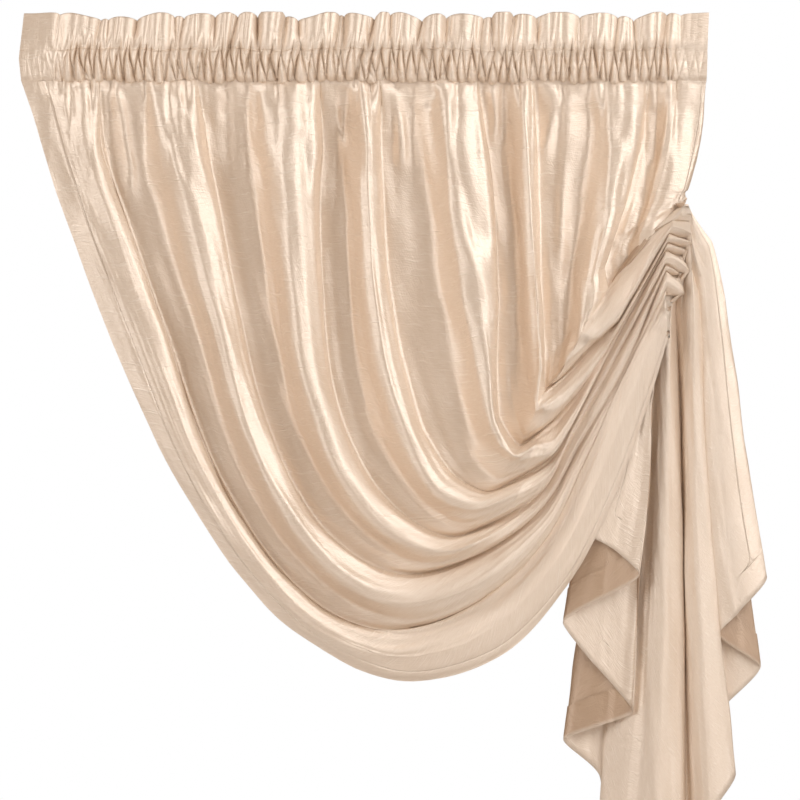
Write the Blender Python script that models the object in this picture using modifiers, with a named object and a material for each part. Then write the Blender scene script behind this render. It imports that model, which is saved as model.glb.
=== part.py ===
"""Rod-pocket swag curtain: a gathered heading strip, and one panel that sweeps to a ruche and falls as a tail."""

import math

import bpy

MM = 0.001
COLLECTION = "rod_pocket_swag_curtain"

# Widths run along X, the front faces -Y and height 0 is the top edge of the ruffle. All tables are in mm.

# Heading strip: a ruffle above a flattened tube for a rod, both gathered on two stitch rows
HEADING_COLUMNS = 150
HEADING_SPAN = (
    # height, left end, right end
    (0, -408, 414),
    (-46, -413, 412),
    (-56, -414, 412),
    (-86, -411, 411),
)
RUFFLE_MIDDLE = -20
UPPER_STITCHES = -44
POCKET_HIGH = -53
POCKET_LOW = -71
LOWER_STITCHES = -81
HEADING_FOOT = -85.6
RUFFLE_THICKNESS = 3.0
SEAM_THICKNESS = 3.4
POCKET_FRONT = -10.0
POCKET_BACK = 7.5
POCKET_WALL = 1.6
PUCKER_COUNT = 47
PUCKER_DEPTH = 3.4
RUFFLE_WAVE = 6.5
RUFFLE_DIP = 8.0
FLAT_LEFT = 0.055
FLAT_RIGHT = 0.045

# Panel: the sheet
SHEET_THICKNESS = 1.2
FOLD_COLUMNS = (9, 9, 9, 9, 9, 8, 8, 7)
FAN_HUB = (391, -214)

# Where the fall of each fold line crosses a level: height, outer edge, dips 1 to 7, inner edge
LEVELS = (
    (-86.2, -412, -319, -199, -54, 18, 137, 205, 343, 411),
    (-120, -399, -317, -196, -52, 19, 142, 207, 338, 409),
    (-166, -385, -313, -190, -50, 19, 149, 209, 331, 402),
)
# How far out from the hub each fold line lies: degrees below level, outer edge, dips 1 to 7, inner edge
FANS = (
    (0, 761, 688, 570, 444, 370, 237, 182, 73, 1),
    (15, 716, 651, 561, 457, 376, 240, 187, 81, 2),
    (30, 708, 659, 582, 492, 400, 265, 207, 102, 4),
    (42, 712, 669, 598, 516, 430, 312, 238, 138, 5),
    (50, 709, 664, 589, 518, 445, 356, 273, 145, 6),
)
# How each fold line turns and climbs to the ruche: five places across and up, then how sharp its turn is
CLIMBS = (
    # turn, swing, rise, near, end, sharpness
    (49, -803, 163, -773, 242, -692, 316, -544, 365, -391, 0.0),
    (43, -742, 139, -706, 221, -624, 295, -490, 362, -343, 0.0),
    (67, -674, 163, -640, 235, -570, 307, -439, 364, -312, 0.0),
    (106, -630, 169, -606, 235, -540, 310, -400, 364, -299, 0.0),
    (148, -576, 193, -559, 244, -511, 312, -386, 365, -289, 0.3),
    (187, -520, 221, -499, 256, -466, 316, -368, 366, -280, 0.8),
    (217, -455, 247, -430, 283, -396, 328, -342, 368, -271, 1.0),
    (303, -322, 311, -318, 324, -308, 345, -292, 372, -262, 1.0),
    (390, -224, 390, -227, 389, -230, 388, -234, 388, -239, 0.0),
)
# One row per fold, outermost first: depth, height of its outer foot, place of its ridge on fall, turn and climb
FOLDS = (
    (22, 0.45, 0.70, 0.48, 0.50),
    (34, 0.00, 0.70, 0.42, 0.50),
    (36, 0.00, 0.74, 0.55, 0.50),
    (34, 0.00, 0.80, 0.60, 0.50),
    (36, 0.00, 0.80, 0.70, 0.50),
    (30, 0.00, 0.76, 0.60, 0.50),
    (26, 0.00, 0.78, 0.55, 0.50),
    (14, 0.00, 0.50, 0.50, 0.50),
)
# One row per section from heading to ruche: depth of the dips, share of the fold depth, lean of the folds
SECTIONS = (
    (6, 0.22, 0.3),
    (11, 0.50, 0.8),
    (15, 0.80, 1.0),
    (18, 1.00, 1.0),
    (18, 1.00, 1.0),
    (18, 1.00, 1.0),
    (18, 1.00, 0.9),
    (17, 1.00, 0.3),
    (15, 0.95, -0.5),
    (11, 0.80, -0.5),
    (7, 0.50, 0.0),
    (4, 0.33, 0.0),
    (0, 0.18, 0.0),
)
# Sections at which the sheet is drawn, closest together around the turn
SWAG_ROWS = (
    (0, 0.5, 1, 1.5, 2, 3)
    + (3.5, 4, 4.5, 5, 5.5, 6)
    + (6.35, 6.7, 7, 7.25, 7.5, 7.75, 8)
    + (8.25, 8.5, 8.75, 9, 9.35, 9.7, 10)
    + (10.5, 11, 11.4, 11.75, 12)
)
# One fold from dip to dip: share of the way, height
ROLL = (
    (0.00, 0.00),
    (0.12, 0.04),
    (0.24, 0.14),
    (0.35, 0.38),
    (0.46, 0.70),
    (0.59, 0.92),
    (0.74, 1.00),
    (0.88, 0.92),
    (0.98, 0.62),
    (1.00, 0.00),
)
ROLL_RIDGE = 0.74

# Ruche: the gathered line where the folds turn over. Height, reach of its loops
RUCHE = (
    (-226, 391),
    (-250, 392),
    (-271, 391),
    (-286, 387),
    (-304, 386),
    (-328, 382),
    (-343, 373),
    (-364, 369),
    (-391, 370),
)
LOOP_DROP = 3
LOOP_DEPTH = 6
LOOP_REST = 0.3
RUCHE_PUCKER = 1.0
RUCHE_PUCKER_COLUMNS = 4
TIP_DEPTH = -2

# Tail, outer edge of the cloth first: column, reach at 0.1, 0.33 and 0.67 of its length, hem across and up,
# depth above and at the hem, share of the length in which that depth is reached, pace of that change
TAIL = (
    (0, 350, 329, 299, 263, -625, 14, 16, 0.10, 0.5),
    (6, 358, 347, 343, 331, -670, 13, 13, 0.10, 0.5),
    (12, 346, 322, 263, 240, -733, 26, 26, 0.12, 0.7),
    (18, 352, 337, 337, 324, -840, 36, 37, 0.16, 0.8),
    (24, 346, 319, 259, 241, -876, 47, 48, 0.18, 0.9),
    (28, 350, 331, 290, 284, -919, 54, 52, 0.18, 0.9),
    (32, 358, 349, 337, 290, -985, 50, 44, 0.16, 0.9),
    (36, 366, 354, 338, 331, -994, 22, 30, 0.08, 0.7),
    (41, 374, 379, 382, 378, -996, 20, 26, 0.08, 0.8),
    (44, 381, 384, 389, 394, -991, 54, 52, 0.33, 1.3),
    (47, 388, 388, 391, 413, -964, 18, 24, 0.25, 1.4),
    (52, 401, 410, 426, 446, -924, 10, 14, 0.25, 1.4),
    (55, 404, 406, 410, 422, -852, 44, 42, 0.25, 1.5),
    (59, 413, 432, 454, 476, -786, 38, 36, 0.30, 1.5),
    (63, 409, 410, 416, 436, -751, 26, 24, 0.35, 1.5),
    (68, 418, 439, 460, 485, -679, 17, 14, 0.40, 1.3),
)
TAIL_ROWS = (0.01, 0.04, 0.08, 0.12, 0.19, 0.28, 0.4, 0.53, 0.67, 0.84, 1.0)
TAIL_PLACES = (0.0, 0.1, 0.33, 0.67, 1.0)
FOLD_ROUNDNESS = 6

CLOTH_COLOUR = (0.79, 0.64, 0.51, 1.0)
HEADING_ROUGHNESS = 0.42
PANEL_ROUGHNESS = 0.38


def clear_scene():
    """Empty the scene before building."""
    for item in list(bpy.data.objects):
        bpy.data.objects.remove(item, do_unlink=True)


def make_material(name, colour, roughness):
    """A plain cloth material."""
    material = bpy.data.materials.new(name)
    material.use_nodes = True
    shader = material.node_tree.nodes["Principled BSDF"]
    shader.inputs["Base Color"].default_value = colour
    shader.inputs["Roughness"].default_value = roughness
    shader.inputs["Metallic"].default_value = 0.0
    return material


def mix(a, b, share):
    """Straight blend of two numbers."""
    return a + (b - a) * share


def ease(share):
    """Soft start and stop between 0 and 1."""
    share = min(1.0, max(0.0, share))
    return share * share * (3.0 - 2.0 * share)


def along_table(rows, place, column):
    """Read one column of a table whose first column falls steadily."""
    for upper, lower in zip(rows, rows[1:]):
        if place >= lower[0]:
            return mix(upper[column], lower[column], (place - upper[0]) / (lower[0] - upper[0]))
    return rows[-1][column]


def through(points, place, sharpness=0.0):
    """Point on a smooth line through the given points, counted by their index."""
    last = len(points) - 1
    span = min(int(place), last - 1)
    share = place - span
    start, stop = points[span], points[span + 1]
    before = points[span - 1] if span > 0 else [2 * a - b for a, b in zip(start, stop)]
    after = points[span + 2] if span + 2 <= last else [2 * b - a for a, b in zip(start, stop)]
    gap_before = math.dist(before, start) ** 0.5 + 0.001
    gap = math.dist(start, stop) ** 0.5 + 0.001
    gap_after = math.dist(stop, after) ** 0.5 + 0.001
    result = []
    for b, p, q, a in zip(before, start, stop, after):
        leave = (q - p) + gap * ((p - b) / gap_before - (q - b) / (gap_before + gap))
        arrive = (q - p) + gap * ((a - q) / gap_after - (a - p) / (gap + gap_after))
        curved = (
            (2 * share**3 - 3 * share**2 + 1) * p
            + (share**3 - 2 * share**2 + share) * leave
            + (3 * share**2 - 2 * share**3) * q
            + (share**3 - share**2) * arrive
        )
        result.append(mix(curved, mix(p, q, share), sharpness))
    return result


def fold_lines():
    """The outer edge, the seven dips and the inner edge, each as places from heading to ruche."""
    lines = []
    for number, climb in enumerate(CLIMBS):
        points = [(level[number + 1], level[0]) for level in LEVELS]
        for fan in FANS:
            angle = math.radians(fan[0])
            reach = fan[number + 1]
            points.append((FAN_HUB[0] - reach * math.cos(angle), FAN_HUB[1] - reach * math.sin(angle)))
        points += [(climb[2 * step], climb[2 * step + 1]) for step in range(5)]
        lines.append(points)
    return lines


def roll_place(share, ridge):
    """Share of the way and height on the cross-section of one fold."""
    way, height = through(ROLL, share * (len(ROLL) - 1))
    if way < ROLL_RIDGE:
        way = way * ridge / ROLL_RIDGE
    else:
        way = ridge + (way - ROLL_RIDGE) * (1.0 - ridge) / (1.0 - ROLL_RIDGE)
    return way, height


def section_values(place):
    """Depth of the dips, share of the fold depth and lean at a section."""
    return through(SECTIONS, place, 0.5)


def ridge_share(fold, place):
    """Where the ridge of a fold lies between its two dips."""
    fall, turn, climb = fold[2:5]
    if place < 8:
        return mix(fall, turn, ease((place - 6) / 2))
    return mix(turn, climb, ease((place - 8) / 2))


def swag_point(lines, number, share, place):
    """One place on the swag: fold number, share across it, section along it."""
    fold = FOLDS[number]
    outer = through(lines[number], place, CLIMBS[number][10])
    inner = through(lines[number + 1], place, CLIMBS[number + 1][10])
    dip, scale, lean = section_values(place)
    ridge = ridge_share(fold, place)
    way, height = roll_place(share, ridge)
    back_way, back_height = roll_place(1.0 - share, 1.0 - ridge)
    weight = 0.5 + 0.5 * lean
    way = mix(1.0 - back_way, way, weight)
    height = mix(back_height, height, weight)
    height = max(height, fold[1] * (1.0 - way))
    x = mix(outer[0], inner[0], way)
    z = mix(outer[1], inner[1], way)
    return [x, dip - height * scale * fold[0], z]


def swag_row(lines, place):
    """All columns of the swag at one section."""
    row = []
    for number, columns in enumerate(FOLD_COLUMNS):
        for step in range(columns):
            row.append(swag_point(lines, number, step / columns, place))
    row.append(swag_point(lines, len(FOLDS) - 1, 1.0, place))
    tightness = ease((place - 10.5) / 1.5)
    for column, point in enumerate(row):
        pucker = math.sin(2 * math.pi * column / RUCHE_PUCKER_COLUMNS)
        point[1] += RUCHE_PUCKER * tightness * pucker
    return row


def tip_row(end_row):
    """The loops of the ruche, just past its stitches."""
    row = []
    for x, y, z in end_row:
        reach = along_table(RUCHE, z, 1)
        row.append([reach - LOOP_DROP * ease((y - TIP_DEPTH) / LOOP_DEPTH), TIP_DEPTH + LOOP_REST * y, z])
    return row


def steep_ends(share):
    """Depth between two tail folds: turns quickly at both ends and runs flat between."""
    side = 1.0 - 2.0 * share
    swing = math.copysign(abs(side) ** FOLD_ROUNDNESS, side)
    return 0.5 - 0.5 * swing


def tail_values():
    """For each column: reach at the named places, hem height, depths, settling share and pace."""
    values = []
    for start, stop in zip(TAIL, TAIL[1:]):
        columns = stop[0] - start[0]
        for step in range(columns):
            share = 0.5 - 0.5 * math.cos(math.pi * step / columns)
            sway = steep_ends(share)
            across = [mix(a, b, share) for a, b in zip(start[1:6], stop[1:6])]
            deep = [mix(a, b, sway) for a, b in zip(start[6:8], stop[6:8])]
            pace = [mix(a, b, share) for a, b in zip(start[8:10], stop[8:10])]
            values.append(across + deep + pace)
    values.append(list(TAIL[-1][1:10]))
    return values


def tail_point(tip, value, place):
    """One place on the tail, from the loop it starts at to the hem."""
    reaches = [along_table(RUCHE, tip[2], 1)] + value[0:4]
    spots = list(zip(TAIL_PLACES, reaches))
    span = max(index for index in range(len(spots) - 1) if place >= spots[index][0])
    share = (place - spots[span][0]) / (spots[span + 1][0] - spots[span][0])
    if span == 0:
        x = mix(reaches[0], reaches[1], share ** value[8])
    else:
        x = through(spots, span + share)[1]
    z = mix(tip[2], value[4], place)
    goal = mix(value[5], value[6], place)
    settle = min(1.0, place / value[7]) ** value[8]
    return [x, mix(tip[1], goal, settle), z]


def panel_rows():
    """The whole panel, row by row, from heading to hem."""
    lines = fold_lines()
    rows = [swag_row(lines, place) for place in SWAG_ROWS]
    tips = tip_row(rows[-1])
    rows.append(tips)
    values = tail_values()
    for place in TAIL_ROWS:
        rows.append([tail_point(tip, value, place) for tip, value in zip(tips, values)])
    return rows


def mesh_object(name, points, faces, material, collection):
    """Named object from places in mm and faces."""
    mesh = bpy.data.meshes.new(name)
    mesh.from_pydata([(x * MM, y * MM, z * MM) for x, y, z in points], [], faces)
    mesh.validate()
    mesh.materials.append(material)
    item = bpy.data.objects.new(name, mesh)
    collection.objects.link(item)
    return item


def build_panel(material, collection):
    """The panel, loft of its rows, thickened to a sheet."""
    rows = panel_rows()
    width = len(rows[0])
    points = [point for row in rows for point in row]
    faces = []
    for line in range(len(rows) - 1):
        for column in range(width - 1):
            corner = line * width + column
            faces.append((corner, corner + 1, corner + width + 1, corner + width))
    panel = mesh_object("panel", points, faces, material, collection)
    sheet = panel.modifiers.new("sheet", "SOLIDIFY")
    sheet.thickness = SHEET_THICKNESS * MM
    sheet.offset = 0.0
    sheet.use_rim = True
    return panel


def heading_section(share):
    """Outer ring and tunnel ring of the heading at a share of its width."""
    gather = ease(share / FLAT_LEFT - 0.6) * ease((1.0 - share) / FLAT_RIGHT - 0.6)
    drift = 0.006 * math.sin(14.5 * share) + 0.004 * math.sin(32.0 * share + 1.0)
    turn = 2 * math.pi * PUCKER_COUNT * (share + drift)
    pucker = PUCKER_DEPTH * gather * math.sin(turn)
    lower_pucker = PUCKER_DEPTH * gather * math.sin(turn + 1.1 + math.sin(9 * share))
    wave = RUFFLE_WAVE * gather * math.sin(0.5 * turn + 0.8 * math.sin(21 * share))
    seam = 0.35 * pucker
    top = -RUFFLE_DIP * (0.5 + 0.5 * math.sin(0.27 * turn + 2.0 * math.sin(11 * share))) * (0.3 + 0.7 * gather)
    half = 0.5 * RUFFLE_THICKNESS
    stitch = 0.5 * SEAM_THICKNESS
    front = POCKET_FRONT + (1.0 - gather) * 2.0
    outer = (
        (wave - half, top),
        (0.8 * wave - half, RUFFLE_MIDDLE),
        (seam - stitch, UPPER_STITCHES),
        (front + pucker, POCKET_HIGH),
        (front + lower_pucker, POCKET_LOW),
        (seam - stitch, LOWER_STITCHES),
        (seam - stitch, HEADING_FOOT),
        (seam + stitch, HEADING_FOOT),
        (seam + stitch, LOWER_STITCHES),
        (POCKET_BACK + 0.5 * lower_pucker, POCKET_LOW),
        (POCKET_BACK + 0.5 * pucker, POCKET_HIGH),
        (seam + stitch, UPPER_STITCHES),
        (0.8 * wave + half, RUFFLE_MIDDLE),
        (wave + half, top),
    )
    tunnel = (
        (seam, UPPER_STITCHES - 2.5),
        (front + pucker + POCKET_WALL, POCKET_HIGH - 1.0),
        (front + lower_pucker + POCKET_WALL, POCKET_LOW + 1.0),
        (seam, LOWER_STITCHES + 2.5),
        (POCKET_BACK + 0.5 * lower_pucker - POCKET_WALL, POCKET_LOW + 1.0),
        (POCKET_BACK + 0.5 * pucker - POCKET_WALL, POCKET_HIGH - 1.0),
    )
    rings = []
    for ring in (outer, tunnel):
        placed = []
        for y, z in ring:
            left = along_table(HEADING_SPAN, z, 1)
            right = along_table(HEADING_SPAN, z, 2)
            placed.append((mix(left, right, share), y, z))
        rings.append(placed)
    return rings


# The tunnel place beside each place of the outer ring, used to close the two ends
END_PARTNERS = (0, 0, 0, 1, 2, 3, 3, 3, 3, 4, 5, 0, 0, 0)


def build_heading(material, collection):
    """The gathered strip with its tunnel open at both ends."""
    points = []
    faces = []
    for column in range(HEADING_COLUMNS + 1):
        outer, tunnel = heading_section(column / HEADING_COLUMNS)
        points += outer + tunnel
    around = len(outer)
    inside = len(tunnel)
    stride = around + inside
    for column in range(HEADING_COLUMNS):
        here = column * stride
        there = here + stride
        for step in range(around):
            follow = (step + 1) % around
            faces.append((here + step, here + follow, there + follow, there + step))
        for step in range(inside):
            follow = (step + 1) % inside
            low, high = here + around, there + around
            faces.append((low + step, high + step, high + follow, low + follow))
    for base, flip in ((0, False), (HEADING_COLUMNS * stride, True)):
        for step in range(around):
            follow = (step + 1) % around
            near, far = END_PARTNERS[step], END_PARTNERS[follow]
            face = [base + step, base + around + near, base + around + far, base + follow]
            if near == far:
                face.pop(2)
            faces.append(tuple(reversed(face)) if flip else tuple(face))
    return mesh_object("heading", points, faces, material, collection)


clear_scene()
curtain = bpy.data.collections.new(COLLECTION)
bpy.context.scene.collection.children.link(curtain)
build_heading(make_material("gathered_cloth", CLOTH_COLOUR, HEADING_ROUGHNESS), curtain)
build_panel(make_material("draped_cloth", CLOTH_COLOUR, PANEL_ROUGHNESS), curtain)
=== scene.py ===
"""Rod-pocket swag curtain in slubbed faux silk: gathered heading, swag, ruche and cascade tail."""

import math
import random

import bpy
import numpy as np
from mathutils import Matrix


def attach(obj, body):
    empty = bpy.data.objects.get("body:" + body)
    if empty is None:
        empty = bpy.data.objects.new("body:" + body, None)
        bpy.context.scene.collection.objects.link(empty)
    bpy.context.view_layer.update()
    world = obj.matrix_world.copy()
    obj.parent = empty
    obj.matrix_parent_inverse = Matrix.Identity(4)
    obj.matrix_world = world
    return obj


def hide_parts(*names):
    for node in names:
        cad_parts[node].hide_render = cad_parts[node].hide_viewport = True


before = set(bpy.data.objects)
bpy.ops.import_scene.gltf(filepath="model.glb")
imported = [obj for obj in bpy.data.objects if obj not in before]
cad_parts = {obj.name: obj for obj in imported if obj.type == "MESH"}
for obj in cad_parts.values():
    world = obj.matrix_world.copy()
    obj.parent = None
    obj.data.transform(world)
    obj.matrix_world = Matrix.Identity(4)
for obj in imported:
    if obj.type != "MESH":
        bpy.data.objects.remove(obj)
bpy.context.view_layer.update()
MM = 0.001

# Viewpoint, floor and light
# The view is straight at the front from far off, as in the photograph, so the folds keep their true places.
# A large soft light stands on each side, weaker ones stand high in front and low on the right, and one
# lights the back. The air between them is warm, as the shadows in the cloth are.
stand = bpy.data.cameras.new("camera")
stand.sensor_width = 36.0
stand.lens = 300.0
stand.clip_end = 100.0
camera = bpy.data.objects.new("camera", stand)
camera.location = (0.0432, -8.0, -0.4656)
camera.rotation_euler = (math.radians(90), 0.0, 0.0)
bpy.context.scene.collection.objects.link(camera)
bpy.context.scene.camera = camera
bpy.context.scene.view_settings.view_transform = "Standard"


def soft_light(name, azimuth, elevation, distance, width, height, power, colour=(1.0, 1.0, 1.0)):
    """A soft box turned to the middle of the curtain. Azimuth 0 is in front, positive to the right."""
    lamp = bpy.data.lights.new(name, "AREA")
    lamp.shape = "RECTANGLE"
    lamp.size = width
    lamp.size_y = height
    lamp.energy = power
    lamp.color = colour
    item = bpy.data.objects.new(name, lamp)
    turn, rise = math.radians(azimuth), math.radians(elevation)
    item.location = (
        distance * math.sin(turn) * math.cos(rise),
        -distance * math.cos(turn) * math.cos(rise),
        -0.45 + distance * math.sin(rise),
    )
    item.rotation_euler = (math.radians(90) - rise, 0.0, turn)
    bpy.context.scene.collection.objects.link(item)
    return item


soft_light("left_soft_box", -57, 20, 2.6, 1.3, 1.7, 26)
soft_light("right_soft_box", 54, 30, 2.3, 1.3, 1.6, 26)
soft_light("front_light", 20, 24, 2.8, 1.6, 1.2, 12)
soft_light("low_light", 48, -11, 2.6, 1.8, 0.25, 7)
soft_light("back_light", 180, 20, 3.0, 2.0, 2.0, 25)

world = bpy.data.worlds.new("white_studio")
bpy.context.scene.world = world
world.use_nodes = True
air = world.node_tree
air_out = air.nodes["World Output"]
glow = air.nodes["Background"]
glow.inputs["Color"].default_value = (1.0, 0.62, 0.32, 1.0)
glow.inputs["Strength"].default_value = 0.21
seen = air.nodes.new("ShaderNodeBackground")
seen.inputs["Color"].default_value = (1.0, 1.0, 1.0, 1.0)
seen.inputs["Strength"].default_value = 1.0
path = air.nodes.new("ShaderNodeLightPath")
choose = air.nodes.new("ShaderNodeMixShader")
air.links.new(path.outputs["Is Camera Ray"], choose.inputs[0])
air.links.new(glow.outputs[0], choose.inputs[1])
air.links.new(seen.outputs[0], choose.inputs[2])
air.links.new(choose.outputs[0], air_out.inputs["Surface"])

bpy.ops.object.select_all(action="DESELECT")
bpy.ops.mesh.primitive_plane_add(size=5.0, location=(0.0, 0.0, -1.12))
floor = bpy.context.object
floor.name = "floor"
paint = bpy.data.materials.new("pale_floor")
paint.use_nodes = True
paint.node_tree.nodes["Principled BSDF"].inputs["Base Color"].default_value = (0.85, 0.84, 0.83, 1.0)
paint.node_tree.nodes["Principled BSDF"].inputs["Roughness"].default_value = 0.9
floor.data.materials.append(paint)

# Panel
# One cloth of champagne slubbed faux silk. It falls in eight folds from the heading, sweeps round to the
# right and is drawn up there into a ruche, from which the rest hangs as a tail with stepped hems.
# A table gives the places of each line between two folds, and each fold has a cross-section that leans.
FAN_HUB = (391, -214)
STITCH_ROW = -82.0
LEVELS = (
    # height, outer edge, dips 1 to 7, inner edge
    (-82.0, -412, -319, -199, -54, 18, 137, 205, 343, 411),
    (-120, -399, -317, -196, -52, 19, 142, 207, 338, 409),
    (-166, -385, -313, -190, -50, 19, 149, 209, 331, 402),
)
FANS = (
    # degrees below level, reach from the hub of the outer edge, dips 1 to 7 and inner edge
    (0, 761, 688, 570, 444, 370, 237, 182, 73, 1),
    (15, 716, 651, 561, 457, 376, 240, 187, 81, 2),
    (30, 708, 659, 582, 492, 400, 265, 207, 102, 4),
    (42, 712, 669, 598, 516, 430, 312, 238, 138, 5),
    (50, 709, 664, 589, 518, 445, 356, 273, 150, 6),
)
CLIMBS = (
    # turn, swing, rise, middle, near, end: each across and up, then how sharp the turn is
    (49, -803, 163, -773, 242, -692, 298, -588, 344, -462, 365, -391, 0.0),
    (43, -742, 139, -706, 217, -634, 265, -540, 312, -436, 362, -334, 0.0),
    (67, -674, 155, -641, 217, -592, 262, -514, 307, -438, 362, -311, 0.0),
    (106, -630, 169, -606, 217, -571, 249, -510, 299, -421, 361, -303, 0.0),
    (148, -576, 193, -556, 227, -533, 253, -490, 295, -408, 362, -286, 0.3),
    (187, -520, 211, -504, 233, -484, 259, -454, 289, -409, 364, -277, 0.5),
    (217, -455, 228, -445, 244, -430, 272, -401, 305, -372, 366, -266, 1.0),
    (297, -326, 302, -318, 309, -306, 322, -287, 342, -266, 371, -250, 1.0),
    (388, -222, 388, -223, 388, -223, 388, -224, 387, -226, 386, -229, 0.0),
)
FOLDS = (
    # depth, height of the outer foot, columns as in the solid
    (26, 0.45, 9),
    (40, 0.00, 9),
    (42, 0.00, 9),
    (38, 0.00, 9),
    (42, 0.00, 9),
    (34, 0.00, 8),
    (32, 0.00, 8),
    (11, 0.00, 7),
)
RIDGES = (
    # place of each fold's ridge between its dips, at each of the fourteen sections
    (0.66, 0.68, 0.70, 0.70, 0.70, 0.68, 0.62, 0.54, 0.50, 0.50, 0.50, 0.50, 0.50, 0.45),
    (0.68, 0.70, 0.71, 0.71, 0.71, 0.70, 0.66, 0.56, 0.44, 0.34, 0.30, 0.28, 0.28, 0.45),
    (0.66, 0.68, 0.69, 0.69, 0.69, 0.69, 0.68, 0.64, 0.60, 0.40, 0.30, 0.30, 0.30, 0.45),
    (0.70, 0.74, 0.77, 0.77, 0.77, 0.77, 0.74, 0.64, 0.62, 0.50, 0.35, 0.30, 0.30, 0.45),
    (0.70, 0.72, 0.73, 0.73, 0.76, 0.82, 0.90, 0.92, 0.80, 0.62, 0.20, 0.20, 0.25, 0.45),
    (0.74, 0.78, 0.80, 0.82, 0.84, 0.88, 0.92, 0.94, 0.68, 0.50, 0.40, 0.30, 0.25, 0.45),
    (0.74, 0.78, 0.80, 0.80, 0.80, 0.78, 0.78, 0.70, 0.53, 0.36, 0.25, 0.16, 0.16, 0.45),
    (0.50, 0.50, 0.50, 0.50, 0.50, 0.48, 0.45, 0.40, 0.37, 0.36, 0.37, 0.37, 0.38, 0.45),
)
SECTIONS = (
    # depth of the dips, share of the fold depth, lean, from the heading to the ruche
    (3, 0.10, 0.8),
    (17, 0.82, 1.0),
    (21, 1.00, 1.0),
    (22, 1.00, 1.0),
    (22, 1.00, 1.0),
    (22, 1.00, 1.0),
    (21, 1.00, 1.0),
    (20, 1.00, 0.9),
    (18, 0.95, 0.1),
    (16, 0.85, -0.8),
    (16, 0.74, -1.0),
    (15, 0.66, -1.0),
    (12, 0.56, -1.0),
    (2, 0.30, -0.5),
)
ROLL = (
    # share of the way from dip to dip, height
    (0.00, 0.00),
    (0.12, 0.00),
    (0.24, 0.01),
    (0.35, 0.05),
    (0.44, 0.26),
    (0.52, 0.66),
    (0.60, 0.91),
    (0.68, 1.00),
    (0.77, 0.96),
    (0.87, 0.83),
    (0.955, 0.66),
    (0.985, 0.42),
    (1.00, 0.00),
)
ROLL_RIDGE = 0.68
LAP = (
    # the same on the climb, where each fold laps over the next with its outer side
    (0.00, 0.00),
    (0.015, 0.42),
    (0.045, 0.70),
    (0.12, 0.90),
    (0.25, 1.00),
    (0.40, 0.93),
    (0.55, 0.76),
    (0.70, 0.52),
    (0.82, 0.30),
    (0.92, 0.12),
    (1.00, 0.00),
)
LAP_RIDGE = 0.25
# On the climb a fold is at most this high for its width
SLIMNESS = 0.50
RUCHE = (
    # height, reach of the loops, how far they hang over
    (-226, 388, 0),
    (-240, 394, 3),
    (-250, 390, 0),
    (-258, 393, 8),
    (-267, 386, 4),
    (-272, 394, 6),
    (-278, 384, 4),
    (-282, 389, 5),
    (-287, 382, 4),
    (-295, 391, 16),
    (-304, 383, 8),
    (-311, 380, 4),
    (-322, 385, 16),
    (-334, 376, 6),
    (-346, 371, 4),
    (-364, 368, 1),
    (-391, 370, 0),
)
FOLD, SLOPE, CREST = 0, 1, 2
TAIL = (
    # column of the solid, reach at 0.1, 0.33 and 0.67 of the length, hem across and up, depth above and at
    # the hem, share of the length in which it is reached, pace of that change, and what the cloth does
    (0, 350, 329, 299, 263, -625, 11, 11, 0.10, 0.5, SLOPE),
    (3, 354, 338, 320, 300, -645, 12, 12, 0.10, 0.5, CREST),
    (6, 358, 347, 343, 331, -676, 8, 8, 0.10, 0.5, FOLD),
    (12, 346, 322, 263, 240, -733, 27, 27, 0.12, 0.7, FOLD),
    (14, 349, 327, 285, 265, -770, 33, 34, 0.13, 0.8, SLOPE),
    (16.3, 351, 333, 316, 302, -812, 35, 36, 0.15, 0.8, CREST),
    (18, 352, 338, 332, 324, -842, 28, 28, 0.16, 0.8, FOLD),
    (24, 346, 312, 266, 241, -876, 54, 54, 0.18, 0.9, FOLD),
    (28, 349, 319, 292, 284, -919, 58, 59, 0.18, 0.9, CREST),
    (32, 354, 331, 311, 287, -985, 46, 48, 0.16, 0.9, SLOPE),
    (34, 358, 345, 330, 306, -992, 34, 37, 0.12, 0.8, SLOPE),
    (36, 363, 353, 342, 325, -994, 23, 27, 0.08, 0.7, SLOPE),
    (38.5, 369, 365, 358, 350, -996, 15, 18, 0.08, 0.7, CREST),
    (41, 375, 380, 382, 380, -996, 29, 32, 0.08, 0.8, SLOPE),
    (44, 381, 383, 387, 390, -991, 46, 47, 0.30, 1.1, CREST),
    (47, 388, 387, 391, 401, -985, 26, 30, 0.25, 1.4, SLOPE),
    (49.5, 396, 398, 405, 418, -962, 11, 14, 0.25, 1.4, CREST),
    (52, 401, 410, 426, 448, -915, 19, 22, 0.25, 1.4, FOLD),
    (55, 404, 406, 410, 422, -852, 44, 42, 0.25, 1.5, FOLD),
    (59, 413, 432, 454, 477, -788, 34, 34, 0.30, 1.5, FOLD),
    (63, 397, 402, 411, 426, -748, 25, 27, 0.30, 1.5, FOLD),
    (65.5, 406, 415, 427, 448, -724, 13, 13, 0.36, 1.4, CREST),
    (68, 418, 439, 460, 485, -679, 24, 24, 0.40, 1.3, FOLD),
)
# Columns of the sheet in each fold, rows between two sections, rows of the tail and of the loops
FOLD_STEPS = 46
SECTION_STEPS = (14, 10, 9, 10, 11, 11, 11, 12, 12, 12, 12, 13, 20)
TAIL_STEPS = 76
LOOP_STEPS = 9
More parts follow.
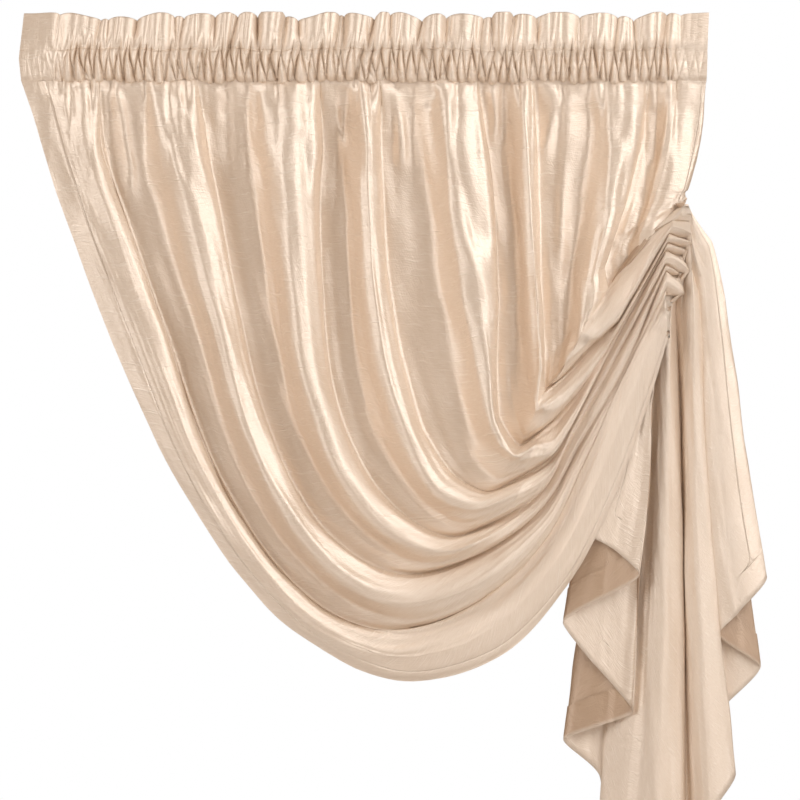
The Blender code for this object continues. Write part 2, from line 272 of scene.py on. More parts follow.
# The bottom hem is turned up on the wrong side: its height, how far it stands off, and its stitch line.
# The side hems have their stitch line at their width.
HEM = 40.0
HEM_STEPS = 7
HEM_LIFT = 1.1
HEM_STITCHES = 37.0
SIDE_HEM = 12.0
TUCKS = (
    # height, half widths to the left and to the right of the way down, then places across and up
    (3.0, 4, 4, (-360, -96), (-355, -142), (-346, -184)),
    (3.5, 8, 5, (-336, -91), (-325, -142), (-314, -178), (-302, -220)),
    (-4.0, 9, 9, (-372, -106), (-365, -166), (-353, -208), (-336, -256)),
    (-3.0, 4, 4, (-347, -89), (-344, -106), (-343, -134)),
    (7.0, 7, 3, (-302, -86), (-292, -112), (-286, -154), (-281, -184), (-280, -211), (-283, -238)),
    (3.0, 4, 5, (-254, -96), (-252, -142), (-246, -190), (-235, -238)),
    (-4.0, 4, 4, (-235, -98), (-227, -142), (-218, -184), (-210, -206)),
    (4.0, 5, 3.5, (-226, -91), (-211, -124), (-199, -166), (-190, -196), (-185, -221)),
    (4.0, 4, 4, (-182, -89), (-181, -112), (-176, -137)),
    (3.5, 4, 5, (-138, -94), (-134, -142), (-127, -196), (-113, -238), (-96, -286)),
    (-3.5, 3, 5, (-130, -118), (-130, -166), (-120, -211), (-104, -247)),
    (3.0, 5, 5, (-122, -91), (-126, -142), (-124, -184)),
    (3.0, 8, 5, (-62, -96), (-54, -130), (-53, -190), (-54, -238)),
    (-3.0, 6, 5, (-77, -142), (-70, -184), (-66, -223)),
    (-4.0, 5, 4, (-20, -89), (-22, -118), (-26, -151)),
    (3.5, 5, 5, (-36, -100), (-26, -154), (-14, -196), (-6, -238)),
    (3.0, 6, 5, (2, -94), (6, -142), (11, -202)),
    (7.5, 6, 3, (36, -86), (42, -124), (46, -160), (46, -192)),
    (3.0, 4, 5, (68, -100), (76, -154), (85, -214)),
    (-4.0, 4, 3, (86, -91), (83, -108), (79, -120)),
    (4.0, 6, 4, (100, -91), (101, -136), (96, -190), (102, -244), (112, -298)),
    (-5.5, 3.5, 9, (106, -96), (108, -136), (113, -172), (119, -210), (125, -247), (132, -283),
     (138, -316)),
    (3.0, 7, 4, (137, -94), (143, -142), (149, -196), (156, -252), (158, -288)),
    (4.0, 4, 4, (151, -89), (157, -124), (157, -166)),
    (-3.0, 4, 4, (167, -86), (172, -118), (170, -166)),
    (3.0, 4, 5, (187, -100), (188, -178), (188, -274), (191, -346)),
    (6.0, 6, 3, (232, -89), (229, -120), (222, -151), (212, -178)),
    (5.5, 4, 8, (242, -91), (241, -142), (239, -202), (236, -268), (236, -334)),
    (-4.5, 6, 8, (276, -106), (274, -154), (265, -226), (252, -292), (240, -346)),
    (4.0, 5, 7, (292, -94), (293, -154), (290, -214), (281, -280), (270, -334), (263, -384)),
    (4.0, 8, 3, (335, -96), (331, -142), (317, -202), (299, -262), (285, -307), (277, -343), (268, -382)),
    (-3.5, 5, 5, (316, -86), (312, -118), (306, -166)),
    (4.0, 5, 6, (358, -86), (361, -130), (355, -184)),
    (-3.5, 6, 5, (346, -106), (349, -154), (350, -192)),
    (-4.0, 6, 6, (374, -96), (391, -106), (401, -124)),
    (5.0, 3, 12, (297, -284), (306, -270), (318, -261), (334, -252), (355, -241), (373, -232), (386, -224)),
    (6.0, 3, 10, (257, -384), (268, -391), (287, -390), (299, -382), (309, -367), (322, -346), (332, -316),
     (344, -286), (357, -264)),
    (5.0, 4, 3, (152, -511), (168, -524), (185, -534), (207, -534), (228, -528), (239, -513), (253, -490),
     (272, -452)),
    (4.5, 3, 7, (213, -380), (214, -430), (216, -478), (230, -475), (253, -455), (272, -430), (290, -404)),
    (-1.6, 3, 3, (235, -672), (271, -622), (298, -559), (322, -496), (343, -427)),
    (2.5, 3, 2, (352, -338), (360, -343), (367, -349)),
    (2.5, 2, 3, (349, -350), (358, -354), (367, -361)),
    (2.5, 3, 2, (346, -363), (356, -366), (367, -372)),
    (2.0, 2, 3, (343, -376), (354, -377), (366, -382)),
    (1.8, 2.5, 2.5, (232, -690), (286, -588), (333, -462), (355, -392)),
    (1.5, 3, 3, (205, -668), (262, -572), (313, -455), (342, -380)),
)
BULGES = (
    # across, up, half width and half length, degrees turned, height
    (-211, -178, 20, 30, -15, 3.5),
    (-214, -232, 16, 14, -10, -2.5),
    (-79, -214, 22, 22, 0, 3.5),
    (-77, -160, 18, 22, 0, -2.5),
    (-295, -106, 12, 16, 0, 2.0),
    (79, -148, 16, 22, 0, 2.5),
    (139, -300, 16, 18, 20, 3.0),
    (143, -268, 12, 16, 0, -2.5),
    (-23, -127, 12, 14, 0, -2.0),
    (-170, -166, 14, 30, -10, -2.5),
    (-362, -226, 14, 30, -20, 2.0),
    (379, -166, 16, 26, 0, 2.5),
    (338, -220, 16, 22, 30, -2.5),
)


def mix(a, b, share):
    """Straight blend of two numbers."""
    return a + (b - a) * share


def ease(share):
    """Soft start and stop between 0 and 1."""
    share = np.clip(share, 0.0, 1.0)
    return share * share * (3.0 - 2.0 * share)


def through(points, place, sharpness=0.0):
    """Point on a smooth line through the given points, counted by their index."""
    last = len(points) - 1
    span = min(int(place), last - 1)
    share = place - span
    start, stop = np.array(points[span], float), np.array(points[span + 1], float)
    before = np.array(points[span - 1], float) if span > 0 else 2 * start - stop
    after = np.array(points[span + 2], float) if span + 2 <= last else 2 * stop - start
    gap_before = math.dist(before, start) ** 0.5 + 0.001
    gap = math.dist(start, stop) ** 0.5 + 0.001
    gap_after = math.dist(stop, after) ** 0.5 + 0.001
    leave = (stop - start) + gap * ((start - before) / gap_before - (stop - before) / (gap_before + gap))
    arrive = (stop - start) + gap * ((after - stop) / gap_after - (after - start) / (gap + gap_after))
    curved = (
        (2 * share**3 - 3 * share**2 + 1) * start
        + (share**3 - 2 * share**2 + share) * leave
        + (3 * share**2 - 2 * share**3) * stop
        + (share**3 - share**2) * arrive
    )
    return mix(curved, mix(start, stop, share), sharpness)


def fold_lines():
    """The outer edge, the seven dips and the inner edge, each as places from heading to ruche."""
    lines = []
    for number, climb in enumerate(CLIMBS):
        points = [(level[number + 1], level[0]) for level in LEVELS]
        for fan in FANS:
            angle = math.radians(fan[0])
            reach = fan[number + 1]
            points.append((FAN_HUB[0] - reach * math.cos(angle), FAN_HUB[1] - reach * math.sin(angle)))
        points += [(climb[2 * step], climb[2 * step + 1]) for step in range(6)]
        lines.append(points)
    return lines


ROLL_SHARES = np.arange(FOLD_STEPS + 1) / FOLD_STEPS
ROLL_AHEAD = np.array([through(ROLL, share * (len(ROLL) - 1)) for share in ROLL_SHARES])
ROLL_BACK = np.array([through(LAP, share * (len(LAP) - 1)) for share in ROLL_SHARES])


def turned_roll(ridge, backwards):
    """Share of the way and height across one fold, with its ridge moved to the given place."""
    table, peak = (ROLL_BACK, LAP_RIDGE) if backwards else (ROLL_AHEAD, ROLL_RIDGE)
    way = table[:, 0]
    before = way * ridge / peak
    past = ridge + (way - peak) * (1.0 - ridge) / (1.0 - peak)
    return np.where(way < peak, before, past), table[:, 1]


def puffs(across, slant, count, uneven, sway, seed):
    """Rounded puffs between creases. Uneven moves a crease and sway turns it, as shares of their spacing."""
    pick = random.Random(seed)
    upper = np.array([(number + uneven * (pick.random() - 0.5)) / count for number in range(count + 1)])
    turns = [(-1) ** number * sway * (0.4 + 1.2 * pick.random()) / count for number in range(count + 1)]
    tall = np.array([0.55 + 0.9 * pick.random() for number in range(count + 1)])
    creases = np.maximum.accumulate(upper + np.array(turns) * (slant - 0.5))
    creases[0], creases[-1] = -0.01, 1.01
    span = np.clip(np.searchsorted(creases, across, side="right") - 1, 0, count - 1)
    gap = np.maximum(creases[span + 1] - creases[span], 1e-6)
    share = np.clip((across - creases[span]) / gap, 0.0, 1.0)
    return tall[span] * np.minimum(1.3, gap * count) ** 0.7 * np.sqrt(np.sin(np.pi * share))


def stitch_wobble(across):
    """How far a gathered stitch row strays up and down, in mm."""
    return 1.3 * np.sin(61 * across + 2 * np.sin(23 * across)) + 0.9 * np.sin(143 * across + 1.0)


def gathers(x, drop):
    """How far the cloth puffs forward below the stitch row: small puffs that soon fade, and broad ones."""
    across = np.clip((x + 412) / 824, 0.0, 1.0)
    inward = ease(across / 0.05) * ease((1.0 - across) / 0.05)
    small = 3.5 * (puffs(across, 0.0, 70, 1.0, 0.0, 5) - 0.6) * np.exp(-drop / 14)
    broad = 8.0 * (puffs(across, 0.0, 29, 0.9, 0.0, 21) - 0.6) * np.exp(-drop / 60)
    return inward * (small + broad) * (0.35 + 0.65 * ease(drop / 6))


def lump_waves(count, across, along, seed):
    """Directions, sizes and phases for a field of soft lumps: mm across the fold and mm along it."""
    pick = random.Random(seed)
    return [
        (pick.gauss(0, 1) * 6.28 / across, pick.gauss(0, 1) * 6.28 / along, 6.28 * pick.random())
        for number in range(count)
    ]


# Each kind of unevenness: height in mm, and its waves
LUMPS = (
    (0.9, lump_waves(16, 60, 260, 2)),
    (0.35, lump_waves(20, 24, 110, 4)),
    (0.14, lump_waves(24, 10, 40, 6)),
)
STREAKS = (
    (0.40, lump_waves(22, 15, 420, 8)),
    (0.10, lump_waves(26, 6, 260, 9)),
)


def lumps(u, v, layers=LUMPS):
    """Soft unevenness of the cloth at places u across and v along it, in mm."""
    total = 0.0
    for height, waves in layers:
        size = height * (2.0 / len(waves)) ** 0.5
        total = total + size * sum(np.sin(a * u + b * v + c) for a, b, c in waves)
    return total


def tuck_relief(x, z):
    """How far the listed tucks and bulges bring each place of the swag forward, in mm."""
    relief = np.zeros_like(x)
    for height, left, right, *spots in TUCKS:
        steps = 6 * (len(spots) - 1)
        line = [through(spots, step / steps * (len(spots) - 1)) for step in range(steps + 1)]
        nearest = np.full(x.shape, 1e9)
        side = np.zeros_like(x)
        along = np.zeros_like(x)
        for step in range(steps):
            start, way = line[step], line[step + 1] - line[step]
            share = np.clip(((x - start[0]) * way[0] + (z - start[1]) * way[1]) / (way @ way), 0.0, 1.0)
            gap_x = x - start[0] - share * way[0]
            gap_z = z - start[1] - share * way[1]
            gap = np.hypot(gap_x, gap_z)
            closer = gap < nearest
            nearest = np.where(closer, gap, nearest)
            side = np.where(closer, gap_x * way[1] - gap_z * way[0], side)
            along = np.where(closer, (step + share) / steps, along)
        width = np.where(side > 0, left, right) * (1.6 if spots[0][1] > -130 else 1.2)
        fade = ease(along / 0.12) * ease((1.0 - along) / 0.25)
        relief += height * fade * np.exp(-((nearest / width) ** 1.5))
    for across, up, wide, long, turned, height in BULGES:
        turn = math.radians(turned)
        a = ((x - across) * math.cos(turn) + (z - up) * math.sin(turn)) / (1.2 * wide)
        b = ((z - up) * math.cos(turn) - (x - across) * math.sin(turn)) / (1.2 * long)
        relief += height * np.exp(-a * a - b * b)
    return relief


def swag_row(lines, place):
    """All columns of the swag at one section: across, deep, up, and the share of the way in each fold."""
    row = []
    ways = []
    dip, scale, lean = through(SECTIONS, place, 0.5)
    for number, fold in enumerate(FOLDS):
        outer = through(lines[number], place, CLIMBS[number][12])
        inner = through(lines[number + 1], place, CLIMBS[number + 1][12])
        ridge = float(through([(share,) for share in RIDGES[number]], place, 0.5)[0])
        ahead_way, ahead_height = turned_roll(ridge, False)
        back_way, back_height = turned_roll(ridge, True)
        weight = 0.5 + 0.5 * lean
        way = mix(back_way, ahead_way, weight)
        height = mix(back_height, ahead_height, weight)
        if fold[1] > 0.0:
            rise = np.sin(0.5 * np.pi * np.minimum(1.0, way / ridge)) * (way < ridge)
            height = np.maximum(height, mix(fold[1], 1.0, rise))
        climbing = ease((place - 8.0) / 1.5)
        slim = mix(1.0, SLIMNESS, climbing) + 0.5 * ease(place - 12.0)
        tall = min(scale * fold[0], max(slim * math.dist(outer, inner), (1.0 - climbing) * fold[0]))
        if number == 0:
            tall *= mix(1.0, 0.55, ease((place - 7.5) / 2.0))
        deep = dip - height * tall
        part = np.stack([mix(outer[0], inner[0], way), deep, mix(outer[1], inner[1], way)], axis=1)
        if place < 3.0:
            drop = np.maximum(0.0, STITCH_ROW - part[:, 2])
            part[:, 1] -= gathers(part[:, 0], drop)
            part[:, 2] += stitch_wobble((part[:, 0] + 412) / 824) * np.exp(-drop / 10)
        last = number == len(FOLDS) - 1
        row.append(part if last else part[:-1])
        ways.append(number + way if last else (number + way)[:-1])
    return np.concatenate(row), np.concatenate(ways)


def along_table(rows, places, column):
    """Read one column of a table whose first column rises or falls steadily."""
    keys = np.array([row[0] for row in rows], float)
    values = np.array([row[column] for row in rows], float)
    if keys[0] > keys[-1]:
        return np.interp(-places, -keys, values)
    return np.interp(places, keys, values)


def tail_values(columns):
    """For each column: reach at the named places, hem height, depths, settling share and pace."""
    table = np.array(TAIL, float)
    keys = table[:, 0]
    kind = table[:, 10]
    span = np.clip(np.searchsorted(keys, columns, side="right") - 1, 0, len(TAIL) - 2)
    gap = (keys[span + 1] - keys[span])[:, None]
    share = (columns[:, None] - keys[span][:, None]) / gap
    slopes = np.gradient(table[:, 1:8], keys, axis=0)
    step = table[span + 1, 1:8] - table[span, 1:8]
    leave = np.where(kind[span][:, None] == FOLD, 0.0, slopes[span]) * gap
    arrive = np.where(kind[span + 1][:, None] == FOLD, 0.0, slopes[span + 1]) * gap
    for number in (5, 6):
        leave[:, number] = np.where(kind[span] == FOLD, 2.2 * step[:, number], leave[:, number])
        arrive[:, number] = np.where(kind[span + 1] == FOLD, 2.2 * step[:, number], arrive[:, number])
        leave[:, number] = np.where(kind[span] == CREST, 0.0, leave[:, number])
        arrive[:, number] = np.where(kind[span + 1] == CREST, 0.0, arrive[:, number])
    curve = table[span, 1:8] + (3 * share**2 - 2 * share**3) * step
    curve += (share**3 - 2 * share**2 + share) * leave + (share**3 - share**2) * arrive
    curve[:, 4] = mix(curve[:, 4], np.interp(columns, keys, table[:, 5]), 0.6)
    pace = np.stack([np.interp(columns, keys, table[:, number]) for number in (8, 9)], axis=1)
    return np.concatenate([curve, pace], axis=1)


def tail_row(tips, reach, values, place):
    """One row of the tail, from the loops of the ruche to the hem."""
    spots = (0.0, 0.1, 0.33, 0.67, 1.0)
    if place < spots[1]:
        x = mix(reach, values[:, 0], (place / spots[1]) ** values[:, 8])
    else:
        span = max(index for index in range(1, 4) if place >= spots[index])
        share = (place - spots[span]) / (spots[span + 1] - spots[span])
        known = [reach] + [values[:, number] for number in range(4)]
        before, start, stop = known[span - 1], known[span], known[span + 1]
        after = known[span + 2] if span < 3 else 2 * stop - start
        gaps = (spots[span] - spots[span - 1], spots[span + 1] - spots[span], 0.34)
        leave = (stop - before) / (gaps[0] + gaps[1]) * gaps[1]
        arrive = (after - start) / (gaps[1] + gaps[2]) * gaps[1]
        x = (
            (2 * share**3 - 3 * share**2 + 1) * start
            + (share**3 - 2 * share**2 + share) * leave
            + (3 * share**2 - 2 * share**3) * stop
            + (share**3 - share**2) * arrive
        )
    z = mix(tips[:, 2], values[:, 4], place)
    goal = mix(values[:, 5], values[:, 6], place)
    settle = np.minimum(1.0, place / values[:, 7]) ** values[:, 8]
    return np.stack([x, mix(tips[:, 1], goal, settle), z], axis=1)


def cloth_mesh(name, rows, seam=None, turned=None):
    """A sheet from its rows of places in mm. Its map weave gives how far the cloth runs to each place,
    across and down, in m. Its map seam gives the mm to the nearest line of stitches, and 1 where the
    cloth is turned back on itself."""
    grid = np.array(rows) * MM
    count, width = grid.shape[:2]
    corner = np.arange(count * width).reshape(count, width)
    faces = np.stack([corner[:-1, :-1], corner[1:, :-1], corner[1:, 1:], corner[:-1, 1:]], axis=2)
    faces = faces.reshape(-1, 4)
    mesh = bpy.data.meshes.new(name)
    mesh.from_pydata(grid.reshape(-1, 3).tolist(), [], faces.tolist())
    step_across = np.linalg.norm(np.diff(grid, axis=1), axis=2)
    across = np.concatenate([np.zeros((count, 1)), np.cumsum(step_across, axis=1)], axis=1)
    step_along = np.linalg.norm(np.diff(grid, axis=0), axis=2)
    along = np.concatenate([np.zeros((1, width)), np.cumsum(step_along, axis=0)])
    flat = np.stack([across, along], axis=2).reshape(-1, 2)
    layer = mesh.uv_layers.new(name="weave")
    order = np.empty(len(mesh.loops), dtype=np.int32)
    mesh.loops.foreach_get("vertex_index", order)
    layer.data.foreach_set("uv", flat[order].astype(np.float32).ravel())
    if seam is not None:
        second = mesh.uv_layers.new(name="seam")
        pair = np.stack([seam.ravel(), np.repeat(turned, width)], axis=1)
        second.data.foreach_set("uv", pair[order].astype(np.float32).ravel())
    mesh.polygons.foreach_set("use_smooth", np.ones(len(mesh.polygons), dtype=bool))
    mesh.update()
    item = bpy.data.objects.new(name, mesh)
    bpy.context.scene.collection.objects.link(item)
    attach(item, "root")
    return item


lines = fold_lines()
places = [0.0]
for section, steps in enumerate(SECTION_STEPS):
    places += [section + (step + 1) / steps for step in range(steps)]
panel_rows = []
for place in places:
    row, ways = swag_row(lines, place)
    panel_rows.append(row)
widths = np.cumsum([0] + [fold[2] for fold in FOLDS])
fold_number = np.minimum(np.arange(len(ways)) // FOLD_STEPS, len(FOLDS) - 1)
shares = np.arange(len(ways)) / FOLD_STEPS - fold_number
columns = widths[fold_number] + shares * np.array([fold[2] for fold in FOLDS])[fold_number]
end = panel_rows[-1]
reach = along_table(RUCHE, end[:, 2], 1)
puffed = np.clip(-(end[:, 1] - 2.0) / 9.0, 0.0, 1.0)
droop = along_table(RUCHE, end[:, 2], 2)
tips = np.stack([reach - 16.0 * (1.0 - puffed), 1.0 + 9.0 * (1.0 - puffed), end[:, 2] - droop], axis=1)
for step in range(LOOP_STEPS):
    share = (step + 1) / LOOP_STEPS
    bend = 1.0 - (1.0 - share * share) ** 0.5
    loop = end + (tips - end) * np.array([share, bend, share * share])
    panel_rows.append(loop)
values = tail_values(columns)
for step in range(TAIL_STEPS):
    panel_rows.append(tail_row(tips, reach, values, ((step + 1) / TAIL_STEPS) ** 1.5))
sheet = np.array(panel_rows)
swag = sheet[: len(places)]
below_seam = ease((STITCH_ROW - swag[:, :, 2]) / 10.0) * ease((380 - swag[:, :, 0]) / 10.0)
swag[:, :, 1] -= tuck_relief(swag[:, :, 0], swag[:, :, 2]) * below_seam
steps_across = np.linalg.norm(np.diff(sheet, axis=1), axis=2)
steps_along = np.linalg.norm(np.diff(sheet, axis=0), axis=2)
run_across = np.concatenate([[0.0], np.cumsum(np.median(steps_across, axis=0))])
run_along = np.concatenate([np.zeros((1, sheet.shape[1])), np.cumsum(steps_along, axis=0)])
quiet = np.array([1.0 - ease((place - 8.5) / 3.0) for place in places] + [0.0] * (LOOP_STEPS + TAIL_STEPS))
calm = 0.15 + 0.85 * quiet
calm[-TAIL_STEPS:] = [0.1 + 0.5 * ease(step / 30) for step in range(TAIL_STEPS)]
facing = np.cross(np.gradient(sheet, axis=0), np.gradient(sheet, axis=1))
facing /= np.maximum(np.linalg.norm(facing, axis=2, keepdims=True), 1e-9)
drawn = np.array(
    [0.5 + 0.5 * ease((place - 2.0) / 4.0) - 0.6 * ease((place - 8.5) / 3.0) for place in places]
)
drawn = np.concatenate([drawn, np.full(LOOP_STEPS + TAIL_STEPS, 0.4)])
uneven = lumps(run_across[None, :], run_along) * calm[:, None]
uneven = uneven + lumps(run_across[None, :], run_along, STREAKS) * drawn[:, None]
sheet += facing * uneven[:, :, None]
hem_rows = []
for step in range(HEM_STEPS + 1):
    up_the_back = HEM * step / HEM_STEPS
    gone = run_along[-1] - up_the_back
    spot = np.array(
        [np.interp(gone[column], run_along[:, column], np.arange(len(sheet))) for column in range(len(gone))]
    )
    low = np.minimum(spot.astype(int), len(sheet) - 2)
    share = (spot - low)[:, None]
    every = np.arange(len(gone))
    base = mix(sheet[low, every], sheet[low + 1, every], share)
    side = mix(facing[low, every], facing[low + 1, every], share)
    lift = HEM_LIFT * min(1.0, 0.5 + step)
    hem_rows.append(base - lift * side)
up_the_hem = HEM * np.arange(HEM_STEPS + 1)[:, None] / HEM_STEPS + 0 * run_along[:1]
hem_gap = np.concatenate([run_along[-1:] - run_along, up_the_hem])
side_gap = np.broadcast_to(run_across, hem_gap.shape)
edge_gap = np.minimum(side_gap, run_across[-1] - side_gap) + 99.0 * (hem_gap < HEM)
seam_gap = np.minimum(np.abs(hem_gap - HEM_STITCHES), np.abs(edge_gap - SIDE_HEM))
panel_rows = list(sheet) + hem_rows
# 1 marks the rows of the turned-up hem; the material darkens them with painted shade.
turned_back = np.array([0.0] * (len(sheet) + 1) + [1.0] * HEM_STEPS)


def slub_group():
    """Slubbed plain weave: fine threads both ways, thick and thin weft threads, and soft colour changes."""
    group = bpy.data.node_groups.new("slubbed weave", "ShaderNodeTree")
    for output in ("Height", "Slub", "Cloud"):
        group.interface.new_socket(output, in_out="OUTPUT", socket_type="NodeSocketFloat")
    nodes, links = group.nodes, group.links
    result = nodes.new("NodeGroupOutput")
    flat = nodes.new("ShaderNodeUVMap")
    flat.uv_map = "weave"

    def noise(scale_across, scale_along, detail, rough=0.5):
        stretch = nodes.new("ShaderNodeMapping")
        stretch.inputs["Scale"].default_value = (scale_across, scale_along, 1.0)
        links.new(flat.outputs[0], stretch.inputs["Vector"])
        cells = nodes.new("ShaderNodeTexNoise")
        cells.inputs["Scale"].default_value = 1.0
        cells.inputs["Detail"].default_value = detail
        cells.inputs["Roughness"].default_value = rough
        links.new(stretch.outputs[0], cells.inputs["Vector"])
        return cells.outputs["Fac"]

    def band(value, low, high):
        spread = nodes.new("ShaderNodeMapRange")
        spread.interpolation_type = "SMOOTHSTEP"
        spread.inputs["From Min"].default_value = low
        spread.inputs["From Max"].default_value = high
        links.new(value, spread.inputs["Value"])
        return spread.outputs[0]

    def combine(kind, first, second):
        sums = nodes.new("ShaderNodeMath")
        sums.operation = kind
        for place, value in ((0, first), (1, second)):
            if isinstance(value, (int, float)):
                sums.inputs[place].default_value = value
            else:
                links.new(value, sums.inputs[place])
        return sums.outputs[0]

    weft = noise(110.0, 560.0, 2.0, 0.6)
    slub = band(noise(30.0, 330.0, 1.0), 0.58, 0.78)
    warp = noise(600.0, 120.0, 1.0)
    crinkle = noise(60.0, 60.0, 3.0, 0.5)
    low = combine("MULTIPLY", weft, 0.6)
    high = combine("MULTIPLY", slub, 0.35)
    fine = combine("MULTIPLY", warp, 0.3)
    bent = combine("MULTIPLY", crinkle, 0.6)
    height = combine("ADD", combine("ADD", low, high), combine("ADD", fine, bent))
    links.new(height, result.inputs["Height"])
    uneven = combine("ADD", combine("MULTIPLY", slub, 0.6), combine("MULTIPLY", weft, 1.0))
    links.new(uneven, result.inputs["Slub"])
    links.new(noise(9.0, 5.0, 3.0), result.inputs["Cloud"])
    return group


slubbed = slub_group()
SEAM_HALF_WIDTH = 1.1
SEAM_DEPTH = 1.6
DEEP_TONE = (0.74, 0.58, 0.43, 1.0)
LIGHT_TONE = (0.92, 0.80, 0.68, 1.0)
# Painted shade: a darker tone multiplied into the colour of the wrong side and of the turned-up hem.
WRONG_SIDE_PAINTED_SHADE = (0.64, 0.52, 0.41, 1.0)
ROUGHNESS = 0.48
WEAVE_RELIEF = 0.95


def silk(name, seamed):
    """Faux silk: colour between a deeper and a lighter tone by thread, satin shine, and a weave that catches
    light.
    Its wrong side, and where it is seamed its turned-up hem, are darkened with painted shade; a pressed line
    follows the stitches of its hems."""
    material = bpy.data.materials.new(name)
    material.use_nodes = True
    nodes, links = material.node_tree.nodes, material.node_tree.links
    shader = nodes["Principled BSDF"]
    weave = nodes.new("ShaderNodeGroup")
    weave.node_tree = slubbed
    tone = nodes.new("ShaderNodeMix")
    tone.data_type = "RGBA"
    tone.inputs["A"].default_value = DEEP_TONE
    tone.inputs["B"].default_value = LIGHT_TONE
    sums = nodes.new("ShaderNodeMath")
    sums.operation = "MULTIPLY_ADD"
    sums.inputs[1].default_value = 0.8
    links.new(weave.outputs["Slub"], sums.inputs[0])
    cloud = nodes.new("ShaderNodeMath")
    cloud.operation = "MULTIPLY"
    cloud.inputs[1].default_value = 0.5
    links.new(weave.outputs["Cloud"], cloud.inputs[0])
    links.new(cloud.outputs[0], sums.inputs[2])
    links.new(sums.outputs[0], tone.inputs["Factor"])
    side = nodes.new("ShaderNodeNewGeometry")
    # Painted shade: where the wrong side faces the camera, the colour is multiplied by the darker tone.
    wrong_side_shade = nodes.new("ShaderNodeMix")
    wrong_side_shade.data_type = "RGBA"
    wrong_side_shade.blend_type = "MULTIPLY"
    wrong_side_shade.inputs["B"].default_value = WRONG_SIDE_PAINTED_SHADE
    links.new(side.outputs["Backfacing"], wrong_side_shade.inputs["Factor"])
    links.new(tone.outputs["Result"], wrong_side_shade.inputs["A"])
    links.new(wrong_side_shade.outputs["Result"], shader.inputs["Base Color"])
    gloss = nodes.new("ShaderNodeMapRange")
    gloss.inputs["To Min"].default_value = ROUGHNESS - 0.06
    gloss.inputs["To Max"].default_value = ROUGHNESS + 0.08
    links.new(weave.outputs["Slub"], gloss.inputs["Value"])
    links.new(gloss.outputs[0], shader.inputs["Roughness"])
    relief = nodes.new("ShaderNodeBump")
    relief.inputs["Strength"].default_value = WEAVE_RELIEF
    relief.inputs["Distance"].default_value = 0.001
    links.new(weave.outputs["Height"], relief.inputs["Height"])
    if seamed:
        seams = nodes.new("ShaderNodeUVMap")
        seams.uv_map = "seam"
        split = nodes.new("ShaderNodeSeparateXYZ")
        links.new(seams.outputs[0], split.inputs[0])
        groove = nodes.new("ShaderNodeMapRange")
        groove.interpolation_type = "SMOOTHSTEP"
        groove.inputs["From Max"].default_value = SEAM_HALF_WIDTH
        links.new(split.outputs["X"], groove.inputs["Value"])
        pressed = nodes.new("ShaderNodeMath")
        pressed.operation = "MULTIPLY_ADD"
        pressed.inputs[1].default_value = SEAM_DEPTH
        links.new(groove.outputs[0], pressed.inputs[0])
        links.new(weave.outputs["Height"], pressed.inputs[2])
        links.new(pressed.outputs[0], relief.inputs["Height"])
        # Painted shade also on the turned-up hem, which the seam map marks with 1.
        painted_shade_mask = nodes.new("ShaderNodeMath")
        painted_shade_mask.operation = "MAXIMUM"
        links.new(side.outputs["Backfacing"], painted_shade_mask.inputs[0])
        links.new(split.outputs["Y"], painted_shade_mask.inputs[1])
        links.new(painted_shade_mask.outputs[0], wrong_side_shade.inputs["Factor"])
    links.new(relief.outputs[0], shader.inputs["Normal"])
    shader.inputs["Metallic"].default_value = 0.35
    shader.inputs["IOR"].default_value = 2.1
    shader.inputs["Specular IOR Level"].default_value = 0.95
    shader.inputs["Anisotropic"].default_value = 0.65
    shader.inputs["Anisotropic Rotation"].default_value = 0.25
    grain = nodes.new("ShaderNodeTangent")
    grain.direction_type = "UV_MAP"
    grain.uv_map = "weave"
    links.new(grain.outputs[0], shader.inputs["Tangent"])
    return material


draped_silk = silk("draped_silk", True)
panel = cloth_mesh("panel_cloth", panel_rows, seam_gap, turned_back)
panel.data.materials.append(draped_silk)
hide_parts("panel")

# Heading
# The top of the cloth, folded over to the back and stitched down in two rows, which leaves a ruffle above
# a pocket for the rod. It is drawn up there, so the pocket lies in tight uneven puckers and the ruffle in
# looser waves.
HEADING_SPAN = ((0, -408, 414), (-46, -413, 412), (-56, -414, 412), (-86, -411, 411))
HEADING_STEPS = 1240
PROFILE = (
    # height, depth of the front, share of the pocket puckers, share of the ruffle waves
    (-82.0, 0.4, 0.10, 0.0),
    (-80.8, -0.8, 0.60, 0.0),
    (-78.8, -2.4, 0.90, 0.0),
    (-75.0, -4.6, 1.00, 0.0),
    (-68.0, -7.0, 1.00, 0.0),
    (-58.0, -7.6, 1.00, 0.0),
    (-51.0, -6.6, 1.00, 0.0),
    (-47.0, -5.4, 0.95, 0.10),
    (-45.8, -4.2, 0.85, 0.15),
    (-45.0, -3.6, 0.80, 0.20),
    (-44.2, -4.0, 0.80, 0.30),
    (-38.0, -3.4, 0.45, 0.70),
    (-24.0, -1.8, 0.05, 1.00),
    (-8.0, -1.5, 0.0, 1.0),
    (-1.0, -1.2, 0.0, 1.0),
    (0.0, 0.0, 0.0, 1.0),
)
BACK_PROFILE = (
    (-1.0, 1.2, 0.0, 1.0),
    (-12.0, 1.5, 0.0, 1.0),
    (-30.0, 1.6, 0.0, 0.7),
    (-42.0, 1.7, 0.2, 0.25),
    (-45.0, 1.0, 0.2, 0.15),
    (-48.0, 4.0, 0.5, 0.05),
    (-55.0, 7.0, 0.8, 0.0),
    (-70.0, 7.2, 0.8, 0.0),
    (-77.0, 4.5, 0.6, 0.0),
    (-81.0, 1.2, 0.2, 0.0),
    (-84.5, 1.2, 0.15, 0.0),
)
across = np.arange(HEADING_STEPS + 1) / HEADING_STEPS


def profile_rows(profile, steps):
    """Heights, depths and shares at even steps along a profile."""
    return [through(profile, step / steps * (len(profile) - 1), 0.3) for step in range(steps + 1)]


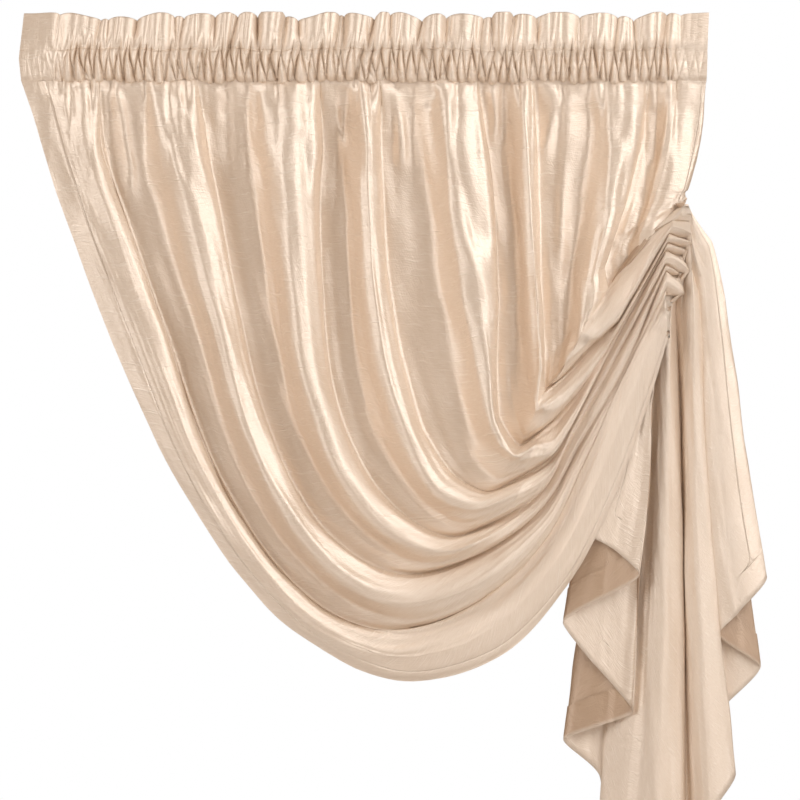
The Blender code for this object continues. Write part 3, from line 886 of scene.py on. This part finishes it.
front_rows = profile_rows(PROFILE, 56)
back_rows = profile_rows(BACK_PROFILE, 20)
gather = 0.14 + 0.86 * ease(across / 0.055 - 0.55) * ease((1.0 - across) / 0.045 - 0.55)
foot = np.interp(mix(-411, 411, across), panel_rows[0][:, 0], panel_rows[0][:, 1])
crown = 0.5 * np.sin(40 * across + 3 * np.sin(13 * across)) + 0.3 * np.sin(77 * across + 1.0)
crown_dip = (4.5 + 5.0 * crown - 7.0 * (puffs(across, 0.0, 29, 0.95, 0.12, 8) - 0.6)) * (0.3 + 0.7 * gather)
heading_rows = []
for number, (height, deep, pucker_share, ruffle_share) in enumerate(front_rows + back_rows):
    behind = number > len(front_rows)
    pocket_slant = min(1.0, max(0.0, (-45.0 - height) / 36.0))
    ruffle_slant = min(1.0, max(0.0, -height / 45.0))
    tight = puffs(across, pocket_slant, 136, 0.6, 0.9, 3) - 0.5
    loose = puffs(across, pocket_slant, 43, 0.9, 0.7, 14) - 0.6
    wide = puffs(across, ruffle_slant, 29, 0.95, 0.12, 8) - 0.62
    narrow = puffs(across, ruffle_slant, 63, 1.0, 0.15, 30) - 0.6
    lean = -gather * pucker_share * (6.5 * tight + 4.5 * loose) * (0.3 if behind else 1.0)
    wave = -gather * ruffle_share * (11.0 * wide + 2.5 * narrow)
    lowered = height - np.clip(crown_dip, 0.0, 14.0) * ease((height + 46) / 46)
    lowered = lowered + gather * stitch_wobble(across) * ease((-20 - height) / 20)
    lowered = lowered - 2.6 * gather * (tight + 0.3) * ease((-70 - height) / 11) * (0.0 if behind else 1.0)
    left = along_table(HEADING_SPAN, np.full(1, height), 1)[0]
    right = along_table(HEADING_SPAN, np.full(1, height), 2)[0]
    settled = deep * (mix(0.55, 1.0, gather) if behind else mix(0.35, 1.0, gather))
    if height < -76 and not behind:
        settled = settled + foot * ease((-76 - height) / 6)
    if height < -70 and behind:
        settled = settled + (1.5 + np.maximum(foot, 0.0)) * ease((-70 - height) / 8)
    heading_rows.append(np.stack([mix(left, right, across), settled + lean + wave, lowered], axis=1))

gathered_silk = silk("gathered_silk", False)
heading = cloth_mesh("heading_cloth", heading_rows[::-1])
heading.data.materials.append(gathered_silk)
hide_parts("heading")
